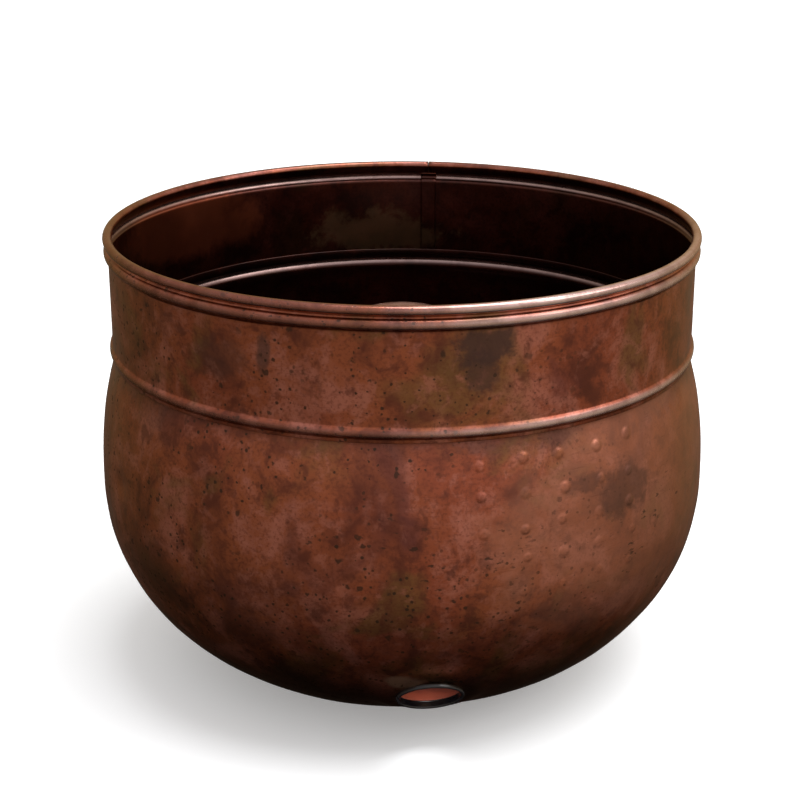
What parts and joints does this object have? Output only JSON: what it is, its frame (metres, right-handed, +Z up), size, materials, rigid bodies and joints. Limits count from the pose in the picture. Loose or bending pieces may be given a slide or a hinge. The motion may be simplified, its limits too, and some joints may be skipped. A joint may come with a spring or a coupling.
{
  "type": "garden hose pot",
  "caption": "Wide hammered copper pot that stores a coiled garden hose, with a wired collar, a low hose port with a grommet and a central winding cone.",
  "frame": {"origin": "centre of the pot's box at the ground, which is where the pot's axis meets the ground", "axes": "+Z up along the pot's axis, -Y towards the side that the hose port faces, +X to the right seen from the port's side"},
  "size_m": [0.42, 0.42, 0.3136],
  "materials": {
    "aged_copper": "antique copper, red-brown and mottled, satin, with brighter worn edges",
    "rim_steel": "drawn mild steel wire",
    "grommet_rubber": "black moulded rubber, semi-gloss"
  },
  "bodies": {
    "root": {"bowl": "aged_copper", "collar": "aged_copper", "rim_wire": "rim_steel", "hose_port_grommet": "grommet_rubber", "winding_cone": "aged_copper", "cone_rivets": "aged_copper"}
  },
  "joints": []
}
